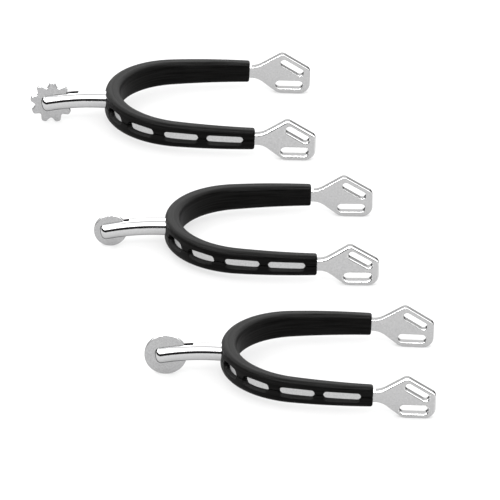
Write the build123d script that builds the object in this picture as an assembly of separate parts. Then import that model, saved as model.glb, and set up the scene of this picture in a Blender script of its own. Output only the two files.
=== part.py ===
from build123d import *
import math
import os

# Three riding spurs laid out side by side, in millimetres: +X runs from the rowels to the strap
# plates, +Y across the heels and +Z up. The set stands on Z = 0 with its footprint centred on the
# origin. Each spur is first modelled flat, with the middle of its heel band on Z = 0 and the back
# of the band's centreline at the origin. It is then tipped to rest on its strap plates and rowel.

# Heel band: a steel strip bent to a U
HEEL_RADIUS = 35.2
HEEL_SWEEP = 80.6  # degrees of heel bend to each side of the back
ARM_RADIUS = 219.5  # slight bow of each arm, from the heel bend to its strap plate
STRIP_THICKNESS = 3.8
STRIP_HEIGHT = 5.6
STRIP_EDGE = 0.6  # round on the strip's long edges

# Strap plates: distances forward from the strip's end, and heights about the band's middle
PLATE_X = 67.6  # where the strip ends and its plates begin, from the back of the U
PLATE_LENGTH = 29.2
PLATE_HALF_HEIGHT = 10.4
PLATE_PEAK = 15.2
PLATE_SLOPE = 30.6  # degrees that the top edge falls towards the front
UPPER_FLANK = 3.2
UPPER_FLANK_ROUND = 10.0
LOWER_FLANK_START = 3.7
LOWER_FLANK_END = 13.7
LOWER_FLANK_ROUND = 9.5
LOWER_BELLY_ROUND = 7.0
PLATE_BELLY_OFFSET = 2.3  # how far past the lower flank a tipped spur's plate touches the ground
PEAK_ROUND = 2.4
FRONT_TOP_ROUND = 3.0
FRONT_BOTTOM_ROUND = 5.4
PLATE_OUTER_EDGE = 0.9  # round on the plates' edges away from the boot
PLATE_INNER_EDGE = 0.3
LOWER_SLOT_LENGTH = 13.4
LOWER_SLOT_WIDTH = 4.2
LOWER_SLOT_CENTRE = (19.05, -5.9)
UPPER_SLOT_LENGTH = 12.7
UPPER_SLOT_WIDTH = 3.6
UPPER_SLOT_CENTRE = (20.2, 3.1)

# Rubber sleeve round the heel band, thickest at the back of the heel
SLEEVE_END_X = 67.3
SLEEVE_BACK = (7.4, 13.0, 2.5)  # thickness, height and edge round at the back of the U
SLEEVE_END = (5.7, 10.2, 1.9)  # the same at the ends of its arms
SLEEVE_STATIONS = 9
SLEEVE_END_ROUND = 1.1
SLIT_WIDTH = 0.5  # the seam that lets the sleeve spread over the band
WINDOW_LENGTHS = (17.4, 16.5, 14.1, 12.2)  # at the steel, from the front of an arm to the back
WINDOW_GAP = 4.1
WINDOW_END_MARGIN = 5.6
WINDOW_HEIGHT = 3.0
WINDOW_BEVEL = 1.5  # extra half height of a window at the rubber's surface
WINDOW_END_BEVEL = 0.8
WINDOW_DEPTH_BELOW = 1.2  # how far a straight cutter reaches below the curved strip
WINDOW_DEPTH_ABOVE = 0.9  # and how far above the curved rubber
WINDOW_CORNER = 0.49  # corner radius as a share of a window's height
WINDOW_RIM_ROUND = 0.4
WINDOW_RIM_FROM = 0.51  # rim edges lie further out than this share of the rubber's wall

# Neck and rowel pin
NECK_ROOT_DIAMETER = 8.3
NECK_TIP_DIAMETER = 8.0
NECK_HEIGHT = 1.0  # axis above the band's middle where the neck leaves it
NECK_STRAIGHT = 8.0
NECK_BEND_RADIUS = 110.0
NECK_TIP_X = -34.2
NECK_TIP_ROUND = 2.5
NECK_STATIONS = 7
TENON_DIAMETER = 4.0
FORK_WIDTH = 2.3
LONG_FORK = 17.5
SHORT_FORK = 13.5
PIN_DIAMETER = 3.0
PIN_SETBACK = 4.9  # from the neck's tip to the pin

# Rowels
ROWEL_THICKNESS = 1.9
ROWEL_EDGE = 0.35
ROWEL_BORE_CLEARANCE = 0.05  # radial
STAR_RADIUS = 10.4
STAR_ROOT_RADIUS = 7.6
STAR_POINTS = 9
STAR_TIP_WIDTH = 2.2
STAR_TIP_ROUND = 1.05
STAR_ROOT_ROUND = 1.0
SMALL_DISC_RADIUS = 7.9
LARGE_DISC_RADIUS = 10.0

# Where each spur lies: X and Y of the back of its heel band, and its turn about Z in degrees
LAYOUT = {
    "star": (-63.4, 158.5, 0.8),
    "small_disc": (-36.4, 23.6, 0.9),
    "large_disc": (-12.1, -112.7, -0.9),
}

UP = Vector(0, 0, 1)
STRIP_OUTER_RADIUS = HEEL_RADIUS + STRIP_THICKNESS / 2
STRIP_INNER_RADIUS = HEEL_RADIUS - STRIP_THICKNESS / 2
CUT_LENGTH = 40.0  # longer than any piece is thick


def arm_edges(end_x):
    """The heel bend and the bow of the arm at positive Y, up to end_x."""
    heel = JernArc((0, 0), (0, 1), HEEL_RADIUS, -HEEL_SWEEP)
    opening = math.radians(90 - HEEL_SWEEP)
    reach = (end_x - (heel @ 1).X) / ARM_RADIUS
    turn = opening - math.asin(math.sin(opening) - reach)
    return heel, JernArc(heel @ 1, heel % 1, ARM_RADIUS, -math.degrees(turn))


def band_path(end_x):
    """The U's centreline, from the end of the arm at negative Y to the end of the other arm."""
    heel = CenterArc((HEEL_RADIUS, 0), HEEL_RADIUS, 180 - HEEL_SWEEP, 2 * HEEL_SWEEP)
    bow = arm_edges(end_x)[1]
    return Wire([mirror(bow, Plane.XZ).edge(), heel.edge(), bow.edge()])


def section_plane(path, distance):
    """A plane across the path, with its x axis pointing out of the U and its y axis up."""
    tangent = path.tangent_at(distance)
    return Plane(origin=path.position_at(distance), x_dir=UP.cross(tangent), z_dir=tangent)


def swept(section, end_x):
    path = band_path(end_x)
    return sweep(section_plane(path, 0) * section, path=path)


def along_x(radius, x_start, x_end, z):
    """A round bar along X."""
    bar = Cylinder(radius, x_end - x_start, align=(Align.CENTER, Align.CENTER, Align.MIN))
    return Plane(origin=(x_start, 0, z), z_dir=(1, 0, 0)) * bar


def heel_cylinder(radius):
    """An upright cylinder about the centre of the heel bend."""
    return Pos(HEEL_RADIUS, 0, 0) * Cylinder(radius, CUT_LENGTH)


def plate_plane(side):
    """Along one arm from the strip's end, with x forward and y up; side is 1 or -1."""
    bow = arm_edges(PLATE_X)[1]
    end = bow @ 1
    tangent = bow % 1
    forward = Vector(tangent.X, side * tangent.Y, 0)
    return Plane(origin=(end.X, side * end.Y, 0), x_dir=forward, z_dir=forward.cross(UP))


def plate_outline():
    half_strip = STRIP_HEIGHT / 2
    drop = (PLATE_LENGTH - PLATE_PEAK) * math.tan(math.radians(PLATE_SLOPE))
    corners = {
        (UPPER_FLANK, half_strip): UPPER_FLANK_ROUND,
        (PLATE_PEAK, PLATE_HALF_HEIGHT): PEAK_ROUND,
        (PLATE_LENGTH, PLATE_HALF_HEIGHT - drop): FRONT_TOP_ROUND,
        (PLATE_LENGTH, -PLATE_HALF_HEIGHT): FRONT_BOTTOM_ROUND,
        (LOWER_FLANK_END, -PLATE_HALF_HEIGHT): LOWER_BELLY_ROUND,
        (LOWER_FLANK_START, -half_strip): LOWER_FLANK_ROUND,
    }
    points = [(0, half_strip), *corners, (0, -half_strip)]
    outline = make_face(Polyline(*points, close=True))
    for corner, radius in corners.items():
        vertex = outline.vertices().sort_by_distance(Vector(*corner))[0]
        outline = fillet(vertex, radius)
    return outline


def strap_slots():
    """The two round-ended slots; the upper one runs along the plate's sloping top edge."""
    upper = SlotOverall(UPPER_SLOT_LENGTH, UPPER_SLOT_WIDTH)
    lower = SlotOverall(LOWER_SLOT_LENGTH, LOWER_SLOT_WIDTH)
    return Pos(*UPPER_SLOT_CENTRE) * Rot(0, 0, -PLATE_SLOPE) * upper, Pos(*LOWER_SLOT_CENTRE) * lower


def strap_plate(side):
    """One plate with its slots; its rims are rounder on the side away from the boot."""
    outline = plate_outline()
    for slot in strap_slots():
        outline -= slot
    plane = plate_plane(side)
    plate = extrude(plane * outline, amount=STRIP_THICKNESS / 2, both=True)
    for outward, radius in ((1, PLATE_OUTER_EDGE), (-1, PLATE_INNER_EDGE)):
        point = plane.from_local_coords((UPPER_FLANK, 0, -side * outward * STRIP_THICKNESS / 2))
        face = plate.faces().sort_by_distance(point)[0]
        joined = plate.faces().sort_by_distance(plane.origin)[0].edges()
        plate = fillet([edge for edge in face.edges() if edge not in joined], radius)
    return plate


def neck_boss():
    """The round seat at the back of the strip, as thick as the strip, that carries the neck."""
    bar = along_x(NECK_ROOT_DIAMETER / 2, -HEEL_RADIUS / 2, HEEL_RADIUS / 2, NECK_HEIGHT)
    return (bar & heel_cylinder(STRIP_OUTER_RADIUS)) - heel_cylinder(STRIP_INNER_RADIUS)


def heel_band(tenon):
    """The U-shaped strip, its neck boss and the two strap plates, forged as one piece."""
    strip = swept(RectangleRounded(STRIP_THICKNESS, STRIP_HEIGHT, STRIP_EDGE), PLATE_X)
    band = strip + neck_boss()
    for side in (-1, 1):
        band += strap_plate(side)
    return band - tenon


def sleeve_size(share):
    """Thickness, height and edge round, at a share of the way from an arm's end to the back."""
    growth = math.sin(share * math.pi / 2)
    return [end + growth * (back - end) for end, back in zip(SLEEVE_END, SLEEVE_BACK)]


def sleeve_blank():
    """The solid that the sleeve is cut from, tapering from the back of the U to its ends."""
    path = band_path(SLEEVE_END_X)
    sections = []
    for station in range(SLEEVE_STATIONS):
        distance = station / (SLEEVE_STATIONS - 1)
        share = 1 - abs(2 * distance - 1)
        sections.append(section_plane(path, distance) * RectangleRounded(*sleeve_size(share)))
    blank = sweep(sections, path=path, multisection=True)
    ends = blank.faces().filter_by(GeomType.PLANE).sort_by(Axis.X)[-2:]
    return fillet([edge for end in ends for edge in end.edges()], SLEEVE_END_ROUND)


def window_plane(side, distance):
    """On the strip's outer face, at a distance along the centreline from the back of the U."""
    half = Wire([edge.edge() for edge in arm_edges(SLEEVE_END_X)])
    point = half.position_at(distance, position_mode=PositionMode.LENGTH)
    tangent = half.tangent_at(distance, position_mode=PositionMode.LENGTH)
    outward = UP.cross(tangent)
    point += outward * (STRIP_THICKNESS / 2)
    return Plane(
        origin=(point.X, side * point.Y, 0),
        x_dir=(tangent.X, side * tangent.Y, 0),
        z_dir=(outward.X, side * outward.Y, 0),
    )


def window_cutter(plane, length, wall):
    """A slot down to the strip, straight at the steel and bevelled out to the rubber's surface."""
    levels = []
    for level in (-WINDOW_DEPTH_BELOW, 0, wall + WINDOW_DEPTH_ABOVE):
        spread = 2 * max(level, 0) / wall
        height = WINDOW_HEIGHT + spread * WINDOW_BEVEL
        mouth = RectangleRounded(length + spread * WINDOW_END_BEVEL, height, WINDOW_CORNER * height)
        levels.append(plane.offset(level) * mouth)
    return loft(levels, ruled=True)


def windows():
    """Each window's plane and length, and the thickness of the rubber that it goes through."""
    arm_length = sum(edge.edge().length for edge in arm_edges(SLEEVE_END_X))
    placed = []
    for side in (-1, 1):
        front = arm_length - WINDOW_END_MARGIN
        for length in WINDOW_LENGTHS:
            middle = front - length / 2
            wall = (sleeve_size(1 - middle / arm_length)[0] - STRIP_THICKNESS) / 2
            placed.append((window_plane(side, middle), length, wall))
            front -= length + WINDOW_GAP
    return placed


def window_rims(body, plane, length, wall):
    """The edges of one window where it opens on the rubber's outer surface."""
    half_length = length / 2 + WINDOW_END_BEVEL + WINDOW_GAP / 4
    half_height = WINDOW_HEIGHT / 2 + WINDOW_BEVEL + STRIP_EDGE / 4
    rims = []
    for edge in body.edges():
        middle = plane.to_local_coords(edge @ 0.5)
        within = abs(middle.X) < half_length and abs(middle.Y) < half_height
        if within and middle.Z > WINDOW_RIM_FROM * wall:
            rims.append(edge)
    return rims


def windowed_blank():
    """The sleeve's blank with its windows cut and their outer rims rounded."""
    body = sleeve_blank()
    for plane, length, wall in windows():
        body -= window_cutter(plane, length, wall)
    rims = []
    for plane, length, wall in windows():
        rims += window_rims(body, plane, length, wall)
    return fillet(rims, WINDOW_RIM_ROUND)


def sleeve(neck_bar):
    """The rubber sleeve: a C-section slit along its inner face, with windows on the outside."""
    slit_reach = SLEEVE_BACK[0]
    cavity = RectangleRounded(STRIP_THICKNESS, STRIP_HEIGHT, STRIP_EDGE)
    slit = Pos(-(slit_reach + STRIP_THICKNESS) / 2, 0) * Rectangle(slit_reach, SLIT_WIDTH)
    body = windowed_blank() - swept(cavity, SLEEVE_END_X) - swept(slit, SLEEVE_END_X)
    return body - neck_boss() - neck_bar


def neck_axis():
    straight = Line((0, 0, NECK_HEIGHT), (-NECK_STRAIGHT, 0, NECK_HEIGHT))
    centre_z = NECK_HEIGHT - NECK_BEND_RADIUS
    reach = -NECK_TIP_X - NECK_STRAIGHT
    tip_z = centre_z + math.sqrt(NECK_BEND_RADIUS**2 - reach**2)
    bend = TangentArc((-NECK_STRAIGHT, 0, NECK_HEIGHT), (NECK_TIP_X, 0, tip_z), tangent=(-1, 0, 0))
    return Wire([straight.edge(), bend.edge()])


def neck_bar():
    """The whole neck before it is forked: a round bar that tapers and curves down to its tip."""
    axis = neck_axis()
    sections = []
    for station in range(NECK_STATIONS):
        share = station / (NECK_STATIONS - 1)
        diameter = NECK_ROOT_DIAMETER + share * (NECK_TIP_DIAMETER - NECK_ROOT_DIAMETER)
        plane = Plane(axis.position_at(share), x_dir=(0, 1, 0), z_dir=axis.tangent_at(share))
        sections.append(plane * Circle(diameter / 2))
    bar = loft(sections)
    tip = bar.faces().sort_by(Axis.X)[0]
    return fillet(tip.edges(), NECK_TIP_ROUND) - heel_cylinder(STRIP_OUTER_RADIUS)


def pin_centre():
    axis = neck_axis()
    return axis.position_at(axis.length - PIN_SETBACK, position_mode=PositionMode.LENGTH)


def pin_plane():
    """On the spur's mid-plane at the rowel pin, with its normal along the pin."""
    return Plane(origin=pin_centre(), x_dir=(1, 0, 0), z_dir=(0, -1, 0))


def pin_bar(radius):
    return pin_plane() * Cylinder(radius, 2 * NECK_ROOT_DIAMETER)


def neck_tenon():
    bar = along_x(TENON_DIAMETER / 2, -STRIP_THICKNESS, STRIP_THICKNESS, NECK_HEIGHT)
    return bar - heel_cylinder(STRIP_INNER_RADIUS)


def neck(bar, tenon, fork_length):
    """The neck with its tenon through the heel band and its fork for the rowel."""
    cut_start = NECK_TIP_X - NECK_ROOT_DIAMETER
    aligned = (Align.MIN, Align.CENTER, Align.CENTER)
    fork = Box(NECK_ROOT_DIAMETER + fork_length, FORK_WIDTH, CUT_LENGTH, align=aligned)
    return bar - Pos(cut_start, 0, 0) * fork + tenon - pin_bar(PIN_DIAMETER / 2)


def star_outline():
    pitch = 2 * math.pi / STAR_POINTS
    points = []
    for index in range(STAR_POINTS):
        angle = math.pi / 2 + index * pitch
        half_tip = math.asin(STAR_TIP_WIDTH / 2 / STAR_RADIUS)
        for radius, offset in (
            (STAR_RADIUS, -half_tip),
            (STAR_RADIUS, half_tip),
            (STAR_ROOT_RADIUS, pitch / 2),
        ):
            points.append((radius * math.cos(angle + offset), radius * math.sin(angle + offset)))
    star = make_face(Polyline(*points, close=True))
    centre_distance = {vertex: Vector(*vertex).length for vertex in star.vertices()}
    middle = (STAR_RADIUS + STAR_ROOT_RADIUS) / 2
    tips = [vertex for vertex, distance in centre_distance.items() if distance > middle]
    star = fillet(tips, STAR_TIP_ROUND)
    roots = star.vertices().sort_by_distance((0, 0))[:STAR_POINTS]
    return fillet(roots, STAR_ROOT_ROUND)


def rowel(outline):
    """A rowel of one outline, eased on its rims and bored to turn on the pin."""
    blank = extrude(pin_plane() * outline, amount=ROWEL_THICKNESS / 2, both=True)
    rims = [edge for face in blank.faces().sort_by(SortBy.AREA)[-2:] for edge in face.edges()]
    return fillet(rims, ROWEL_EDGE) - pin_bar(PIN_DIAMETER / 2 + ROWEL_BORE_CLEARANCE)


def resting_pitch(rowel_bottom):
    """Degrees that a spur tips about Y to stand on its plates and rowel; positive is front down."""
    x_rowel = pin_centre().X
    z_rowel = pin_centre().Z - rowel_bottom
    height = -PLATE_HALF_HEIGHT - z_rowel
    if height > 0:
        foot = PLATE_LENGTH - FRONT_BOTTOM_ROUND
    else:
        foot = LOWER_FLANK_END + PLATE_BELLY_OFFSET
    return math.degrees(math.atan2(height, PLATE_X + foot - x_rowel))


def rowels():
    """Each rowel's outline, how far it reaches below its pin, and the length of its neck's fork."""
    return {
        "star": (star_outline(), STAR_RADIUS * math.cos(math.pi / STAR_POINTS), LONG_FORK),
        "small_disc": (Circle(SMALL_DISC_RADIUS), SMALL_DISC_RADIUS, SHORT_FORK),
        "large_disc": (Circle(LARGE_DISC_RADIUS), LARGE_DISC_RADIUS, LONG_FORK),
    }


def spur_placement(name, rowel_bottom):
    """The move from a spur's flat frame to its place in the layout, before it is set down."""
    x, y, turn = LAYOUT[name]
    return Pos(x, y, 0) * Rot(0, 0, turn) * Rot(0, resting_pitch(rowel_bottom), 0)


def build_set():
    """Every node in place, and each spur's placement."""
    bar = neck_bar()
    tenon = neck_tenon()
    band = heel_band(tenon)
    cover = sleeve(bar)
    nodes = {}
    placements = {}
    for name, (outline, rowel_bottom, fork_length) in rowels().items():
        flat = {
            "heel_band": band,
            "sleeve": cover,
            "neck": neck(bar, tenon, fork_length),
            "rowel_pin": bar & pin_bar(PIN_DIAMETER / 2),
            "rowel": rowel(outline),
        }
        placement = spur_placement(name, rowel_bottom)
        lowest = min((placement * piece).bounding_box().min.Z for piece in flat.values())
        placements[name] = Pos(0, 0, -lowest) * placement
        for piece_name, piece in flat.items():
            nodes[f"{name}_{piece_name}"] = placements[name] * piece
    box = Compound(children=[Part(node.wrapped) for node in nodes.values()]).bounding_box()
    to_centre = Pos(-box.center().X, -box.center().Y, 0)
    nodes = {name: to_centre * node for name, node in nodes.items()}
    placements = {name: to_centre * placement for name, placement in placements.items()}
    return nodes, placements


def main():
    nodes, _ = build_set()
    os.makedirs("parts", exist_ok=True)
    for name, node in nodes.items():
        export_step(node, f"parts/{name}.step")


if __name__ == "__main__":
    main()
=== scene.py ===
import math

import bpy
from mathutils import Matrix, Vector

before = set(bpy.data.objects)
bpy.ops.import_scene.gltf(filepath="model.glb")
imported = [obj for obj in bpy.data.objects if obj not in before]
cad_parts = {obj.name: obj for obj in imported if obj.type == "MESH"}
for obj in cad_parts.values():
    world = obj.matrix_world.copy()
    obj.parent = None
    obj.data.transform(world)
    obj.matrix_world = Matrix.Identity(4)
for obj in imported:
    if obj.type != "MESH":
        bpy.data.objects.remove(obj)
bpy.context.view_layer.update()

# Three riding spurs on a pale floor. Metres, in the CAD model's frame: +X runs from the rowels to
# the strap plates, +Y across the heels and +Z up.

# Camera: a long lens, so that the three spurs keep nearly one scale
CAMERA_AZIMUTH = math.radians(-2.1)
CAMERA_ELEVATION = math.radians(26.0)
CAMERA_ROLL = math.radians(2.4)
CAMERA_DISTANCE = 8.0
AIM = Vector((0.0089, -0.0228, 0.0104))
SENSOR_WIDTH = 36.0
PICTURE_WIDTH = 0.2371  # metres across the picture at the aim point

# Studio: a lit floor under a dome. Each pair of heights, fronts or sides on the dome's unit sphere
# is where a part of the dome begins and ends its fade.
FLOOR_SIZE = 60.0
FLOOR_COLOUR = (0.16, 0.16, 0.16)
FLOOR_FLECKS = (0.15, 0.15, 0.15)
FLOOR_GLOW = 0.53  # keeps the shadows faint
BACKDROP_STRENGTH = 0.95  # what the camera sees where the floor ends
DOME_STRENGTH = 1.95
BRIGHT_STRENGTH = 5.2  # overhead, and low down behind the spurs
OVERHEAD_HEIGHTS = (0.45, 0.80)
BEHIND_HEIGHTS = (0.10, 0.24)
BEHIND_SIDES = (0.15, 0.65)
DARK_STRENGTH = 0.03  # a belt on the camera's side, and a line all round the horizon
BELT_HEIGHTS = (0.45, 0.53)
BELT_FRONTS = (0.25, 0.60)
BELT_LEFT = 0.6  # how much the belt also reaches round the left-hand side
HORIZON_HEIGHTS = (0.07, 0.13)
STRIP_STRENGTH = 20.0  # a strip light high on the camera's side
STRIP_BOTTOM_HEIGHTS = (0.64, 0.68)
STRIP_TOP_HEIGHTS = (0.76, 0.80)
STRIP_FRONTS = (0.30, 0.45)
ZENITH_STRENGTH = 1.5  # dimmer straight above, so that the steel isn't white from there
ZENITH_HEIGHTS = (0.945, 0.985)

# Materials: the two colours of each one's mottle
NECK_COLOURS = ((0.54, 0.54, 0.543), (0.49, 0.49, 0.493))
ROWEL_COLOURS = ((0.46, 0.46, 0.463), (0.36, 0.36, 0.363))
BAND_COLOURS = ((1.0, 1.0, 1.0), (0.82, 0.82, 0.825))  # before a grey of the plates' painted shade and highlight multiplies them
RUBBER_COLOURS = ((0.0006, 0.00055, 0.0005), (0.0013, 0.0012, 0.0011))
EDGE_TINT = (0.35, 0.35, 0.35, 1)  # darkens steel that is seen edge on
STREAKS = (1700, 45, 1700)  # how fine the rubber's streaks are: across the band, along it, and up

# The greys of a strap plate, painted by how squarely its surface faces along Y: painted shade darkens
# the cut
#  edges, a painted highlight brightens the rounded rims, and the flat faces keep a satin grey
PLATE_PAINTED_SHADES = (
    (0.08, 0.19),
    (0.28, 0.72),
    (0.86, 0.72),
    (0.97, 0.50),
)
PLATE_FROM_HEEL = 0.0326  # where the strap plates and their painted shade begin, along X from the heel's centre

# The heel's centre in each spur, and the shape of the U about it, for streaks that follow the U
HEEL_CENTRES = {
    "star": (-0.0193, 0.1361, 0),
    "small_disc": (0.0077, 0.0013, 0),
    "large_disc": (0.0320, -0.1361, 0),
}
HEEL_END_X = -0.00575  # where the heel's arc runs into the arms
BOW_CENTRE = (0.0301, -0.1818, 0)  # of the arm at positive Y
BOW_EXTRA_RADIUS = 0.1843  # the bow's radius less the heel's


# ---------------------------------------------------------------- shader nodes


def node(tree, kind, inputs=None, **settings):
    made = tree.nodes.new(kind)
    for name, value in settings.items():
        setattr(made, name, value)
    for name, value in (inputs or {}).items():
        if isinstance(value, bpy.types.NodeSocket):
            tree.links.new(value, made.inputs[name])
        else:
            made.inputs[name].default_value = value
    return made


def object_coordinates(tree, stretch=(1, 1, 1)):
    coordinates = node(tree, "ShaderNodeTexCoord").outputs["Object"]
    return node(tree, "ShaderNodeMapping", {"Vector": coordinates, "Scale": stretch}).outputs["Vector"]


def separate(tree, vector):
    return node(tree, "ShaderNodeSeparateXYZ", {"Vector": vector}).outputs


def maths(tree, operation, first, second=0.0):
    return node(tree, "ShaderNodeMath", {0: first, 1: second}, operation=operation).outputs[0]


def product(tree, first, second):
    return maths(tree, "MULTIPLY", first, second)


def vector_maths(tree, operation, first, second=(0, 0, 0)):
    return node(tree, "ShaderNodeVectorMath", {0: first, 1: second}, operation=operation).outputs


def fade(tree, value, limits, low=0.0, high=1.0):
    """Low below both limits, high above them, and a smooth step between."""
    inputs = {
        "Value": value,
        "From Min": limits[0],
        "From Max": limits[1],
        "To Min": low,
        "To Max": high,
    }
    return node(tree, "ShaderNodeMapRange", inputs, interpolation_type="SMOOTHSTEP").outputs["Result"]


def noise(tree, vector, scale=1.0, detail=3.0, roughness=0.5):
    inputs = {"Vector": vector, "Scale": scale, "Detail": detail, "Roughness": roughness}
    return node(tree, "ShaderNodeTexNoise", inputs).outputs["Fac"]


def spread(tree, noise_value, low, high):
    """Stretches the range that most of a noise lies in, so that it runs from low to high."""
    inputs = {"Value": noise_value, "From Min": 0.3, "From Max": 0.7, "To Min": low, "To Max": high}
    return node(tree, "ShaderNodeMapRange", inputs).outputs["Result"]


def blend(tree, factor, first, second, blend_type="MIX"):
    inputs = {"Factor": factor, "A": first, "B": second}
    return node(tree, "ShaderNodeMix", inputs, data_type="RGBA", blend_type=blend_type).outputs["Result"]


def mottled(tree, noise_value, colours):
    """The first colour where the noise is low, and the second where it is high."""
    first, second = colours
    return blend(tree, spread(tree, noise_value, 0, 1), (*first, 1), (*second, 1))


def greys(tree, factor, stops):
    """A run of greys, given as pairs of a factor and its grey, factors rising."""
    ramp = node(tree, "ShaderNodeValToRGB", {"Fac": factor})
    elements = ramp.color_ramp.elements
    while len(elements) < len(stops):
        elements.new(1.0)
    for index, (position, grey) in enumerate(stops):
        elements[index].position = position
        elements[index].color = (grey, grey, grey, 1)
    return ramp.outputs["Color"]


def bump(tree, height, distance):
    return node(tree, "ShaderNodeBump", {"Height": height, "Distance": distance}).outputs["Normal"]


# ---------------------------------------------------------------- materials


def new_material(name):
    material = bpy.data.materials.new(name)
    material.use_nodes = True
    material.node_tree.nodes.clear()
    return material


def set_surface(tree, inputs):
    shader = node(tree, "ShaderNodeBsdfPrincipled", inputs)
    node(tree, "ShaderNodeOutputMaterial", {"Surface": shader.outputs["BSDF"]})


def painted_plate_shades(tree, heel_centre):
    """The painted shade and highlight greys of a heel band's strap plates, set by the way their surface
    faces, and the flat faces' grey on the rest of the band.
    """
    coordinates = node(tree, "ShaderNodeTexCoord").outputs
    along = separate(tree, coordinates["Object"])["X"]
    on_band = maths(tree, "LESS_THAN", along, heel_centre[0] + PLATE_FROM_HEEL)
    squareness = maths(tree, "ABSOLUTE", separate(tree, coordinates["Normal"])["Y"])
    return greys(tree, maths(tree, "MAXIMUM", squareness, on_band), PLATE_PAINTED_SHADES)


def steel(name, colours, roughness, grain_stretch, grain_height, heel_centre=None):
    """Polished stainless steel: fine polishing lines, and soft smudges that dull it a little.

    A heel band's steel is given the centre of its heel, and paints shade and highlight onto its strap
    plates by the way they face."""
    material = new_material(name)
    tree = material.node_tree
    smudges = noise(tree, object_coordinates(tree), scale=90, detail=4, roughness=0.55)
    mottle = noise(tree, object_coordinates(tree), scale=1300, roughness=0.6)
    lines = noise(tree, object_coordinates(tree, grain_stretch), detail=2, roughness=0.6)
    colour = mottled(tree, mottle, colours)
    if heel_centre is not None:
        # painted shade on the plates' cut edges and a painted highlight on their rims
        colour = blend(tree, 1.0, colour, painted_plate_shades(tree, heel_centre), "MULTIPLY")
    inputs = {
        "Base Color": colour,
        "Metallic": 1.0,
        "Roughness": spread(tree, smudges, *roughness),
        "Specular Tint": EDGE_TINT,
        "Normal": bump(tree, lines, distance=grain_height),
    }
    set_surface(tree, inputs)
    return material


def along_the_u(tree, heel_centre):
    """Coordinates of a spur's U: across its band, along X, and up."""
    coordinates = node(tree, "ShaderNodeTexCoord").outputs["Object"]
    axes = separate(tree, vector_maths(tree, "SUBTRACT", coordinates, heel_centre)["Vector"])
    side = maths(tree, "ABSOLUTE", axes["Y"])
    folded = node(tree, "ShaderNodeCombineXYZ", {"X": axes["X"], "Y": side}).outputs["Vector"]
    heel = vector_maths(tree, "LENGTH", folded)["Value"]
    bow = vector_maths(tree, "DISTANCE", folded, BOW_CENTRE)["Value"]
    arm = maths(tree, "SUBTRACT", bow, BOW_EXTRA_RADIUS)
    on_arm = maths(tree, "GREATER_THAN", axes["X"], HEEL_END_X)
    across = node(tree, "ShaderNodeMix", {"Factor": on_arm, "A": heel, "B": arm}).outputs["Result"]
    inputs = {"X": across, "Y": axes["X"], "Z": axes["Z"]}
    return node(tree, "ShaderNodeCombineXYZ", inputs).outputs["Vector"]


def rubber(name, heel_centre):
    """Moulded black rubber with a satin skin, faint mottling and streaks along the moulding."""
    material = new_material(name)
    tree = material.node_tree
    mottle = noise(tree, object_coordinates(tree), scale=160, detail=4, roughness=0.6)
    grain = noise(tree, object_coordinates(tree), scale=5200, detail=2)
    stretched = vector_maths(tree, "MULTIPLY", along_the_u(tree, heel_centre), STREAKS)
    streaks = noise(tree, stretched["Vector"], detail=2)
    relief = maths(tree, "ADD", product(tree, streaks, 0.7), product(tree, grain, 0.3))
    inputs = {
        "Base Color": mottled(tree, mottle, RUBBER_COLOURS),
        "Roughness": spread(tree, streaks, 0.44, 0.58),
        "Specular IOR Level": spread(tree, streaks, 0.03, 0.10),
        "Normal": bump(tree, relief, distance=0.0001),
    }
    set_surface(tree, inputs)
    return material


def floor_material():
    material = new_material("pale_floor")
    tree = material.node_tree
    flecks = noise(tree, object_coordinates(tree), scale=30)
    inputs = {
        "Base Color": mottled(tree, flecks, (FLOOR_COLOUR, FLOOR_FLECKS)),
        "Roughness": 0.9,
        "Emission Color": (1, 1, 1, 1),
        "Emission Strength": FLOOR_GLOW,
    }
    set_surface(tree, inputs)
    return material


# ---------------------------------------------------------------- studio


def make_floor():
    bpy.ops.mesh.primitive_plane_add(size=FLOOR_SIZE)
    floor = bpy.context.object
    floor.name = "studio_floor"
    floor.data.materials.append(floor_material())


def dome_strength(tree):
    """The dome's light in each direction: even, and then changed part by part."""
    axes = separate(tree, node(tree, "ShaderNodeTexCoord").outputs["Generated"])
    height = axes["Z"]
    left = product(tree, axes["X"], -BELT_LEFT)
    front = maths(tree, "SUBTRACT", left, axes["Y"])

    belt = product(tree, fade(tree, height, BELT_HEIGHTS, 1, 0), fade(tree, front, BELT_FRONTS))
    dark = maths(tree, "MAXIMUM", belt, fade(tree, height, HORIZON_HEIGHTS, 1, 0))

    behind = product(tree, fade(tree, height, BEHIND_HEIGHTS), fade(tree, axes["Y"], BEHIND_SIDES))
    bright = maths(tree, "MAXIMUM", behind, fade(tree, height, OVERHEAD_HEIGHTS))

    above_strip = fade(tree, height, STRIP_TOP_HEIGHTS, 1, 0)
    strip = product(tree, fade(tree, height, STRIP_BOTTOM_HEIGHTS), above_strip)
    strip = product(tree, strip, fade(tree, front, STRIP_FRONTS))

    strength = DOME_STRENGTH
    for share, change in (
        (dark, DARK_STRENGTH - DOME_STRENGTH),
        (bright, BRIGHT_STRENGTH - DOME_STRENGTH),
        (strip, STRIP_STRENGTH),
        (fade(tree, height, ZENITH_HEIGHTS), ZENITH_STRENGTH - BRIGHT_STRENGTH),
    ):
        strength = maths(tree, "ADD", strength, product(tree, share, change))
    return strength


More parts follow.
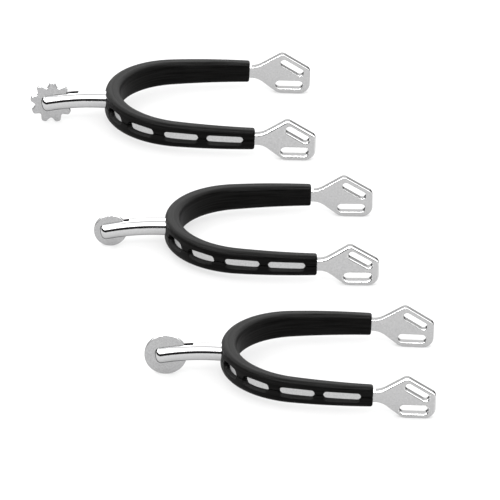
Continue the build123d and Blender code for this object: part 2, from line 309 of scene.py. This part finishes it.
def make_dome():
    """Lights the spurs, while the camera sees a plain backdrop.

    The dome's dark parts draw the dark lines on polished steel, and its bright back the grey sheen."""
    world = bpy.data.worlds.new("studio_dome")
    bpy.context.scene.world = world
    world.use_nodes = True
    tree = world.node_tree
    tree.nodes.clear()
    studio = node(tree, "ShaderNodeBackground", {"Strength": dome_strength(tree)})
    backdrop = node(tree, "ShaderNodeBackground", {"Strength": BACKDROP_STRENGTH})
    inputs = {
        "Fac": node(tree, "ShaderNodeLightPath").outputs["Is Camera Ray"],
        1: studio.outputs["Background"],
        2: backdrop.outputs["Background"],
    }
    both = node(tree, "ShaderNodeMixShader", inputs)
    node(tree, "ShaderNodeOutputWorld", {"Surface": both.outputs["Shader"]})


def make_camera():
    data = bpy.data.cameras.new("camera")
    data.sensor_width = SENSOR_WIDTH
    data.lens = SENSOR_WIDTH * CAMERA_DISTANCE / PICTURE_WIDTH
    data.clip_end = 3 * CAMERA_DISTANCE
    camera = bpy.data.objects.new("camera", data)
    bpy.context.scene.collection.objects.link(camera)

    right_x, right_y = math.cos(CAMERA_AZIMUTH), math.sin(CAMERA_AZIMUTH)
    level, rise = math.cos(CAMERA_ELEVATION), math.sin(CAMERA_ELEVATION)
    right = Vector((right_x, right_y, 0))
    back = Vector((right_y * level, -right_x * level, rise))
    upright = Matrix((right, back.cross(right), back)).transposed().to_4x4()
    place = Matrix.Translation(AIM + back * CAMERA_DISTANCE)
    camera.matrix_world = place @ upright @ Matrix.Rotation(CAMERA_ROLL, 4, "Z")
    bpy.context.scene.camera = camera


# ---------------------------------------------------------------- spurs


def dress(node_name, material):
    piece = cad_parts[node_name]
    piece.data.materials.clear()
    piece.data.materials.append(material)


def dress_spurs():
    neck = steel(
        "neck_steel",
        NECK_COLOURS,
        roughness=(0.02, 0.04),
        grain_stretch=(300, 2000, 2000),
        grain_height=0.000001,
    )
    rowel = steel(
        "rowel_steel",
        ROWEL_COLOURS,
        roughness=(0.20, 0.28),
        grain_stretch=(2500, 2500, 2500),
        grain_height=0.000006,
    )
    for spur, heel_centre in HEEL_CENTRES.items():
        band = steel(
            f"{spur}_band_steel",
            BAND_COLOURS,
            roughness=(0.07, 0.13),
            grain_stretch=(400, 3000, 3000),
            grain_height=0.000004,
            heel_centre=heel_centre,
        )
        dress(f"{spur}_heel_band", band)
        dress(f"{spur}_neck", neck)
        dress(f"{spur}_rowel_pin", neck)
        dress(f"{spur}_rowel", rowel)
        dress(f"{spur}_sleeve", rubber(f"{spur}_sleeve_rubber", heel_centre))


def main():
    bpy.context.scene.view_settings.view_transform = "Standard"
    make_camera()
    make_floor()
    make_dome()
    dress_spurs()


main()
